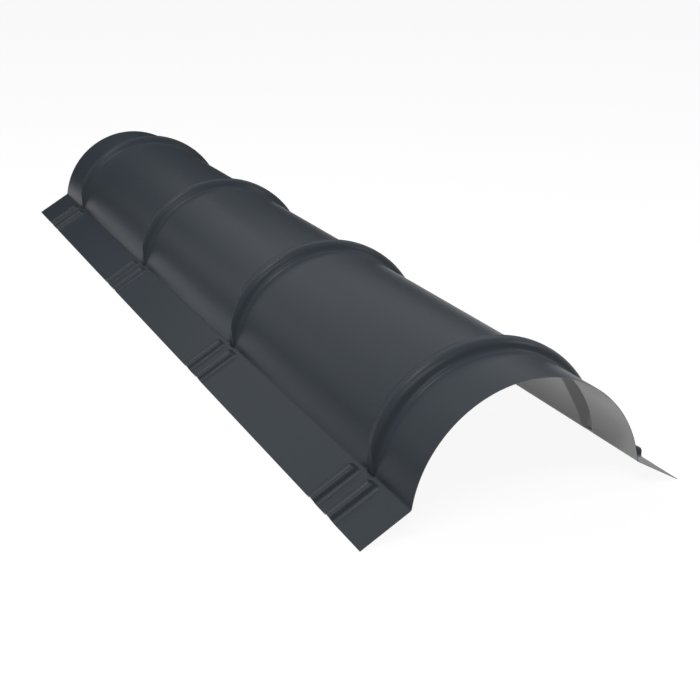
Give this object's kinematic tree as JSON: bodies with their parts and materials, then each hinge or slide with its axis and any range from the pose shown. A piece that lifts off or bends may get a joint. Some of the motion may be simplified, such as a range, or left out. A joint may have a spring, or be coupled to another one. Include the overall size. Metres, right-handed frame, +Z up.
{
  "type": "half-round roof ridge cap",
  "caption": "Half-round ridge cap pressed from one coated steel sheet: a ribbed barrel arch between two sloping flanges with cross beads.",
  "frame": {"origin": "on the floor under the middle of the cap, between the two flange edges", "axes": "+Y along the ridge, away from the nearer end in the view; +X across it, to the right in the view; +Z up"},
  "size_m": [0.3138, 1.23, 0.1301],
  "materials": {
    "coated_sheet": "satin anthracite coil coating outside, light grey backing coat inside"
  },
  "bodies": {
    "root": {"ridge_cap_sheet": "coated_sheet"}
  },
  "joints": []
}
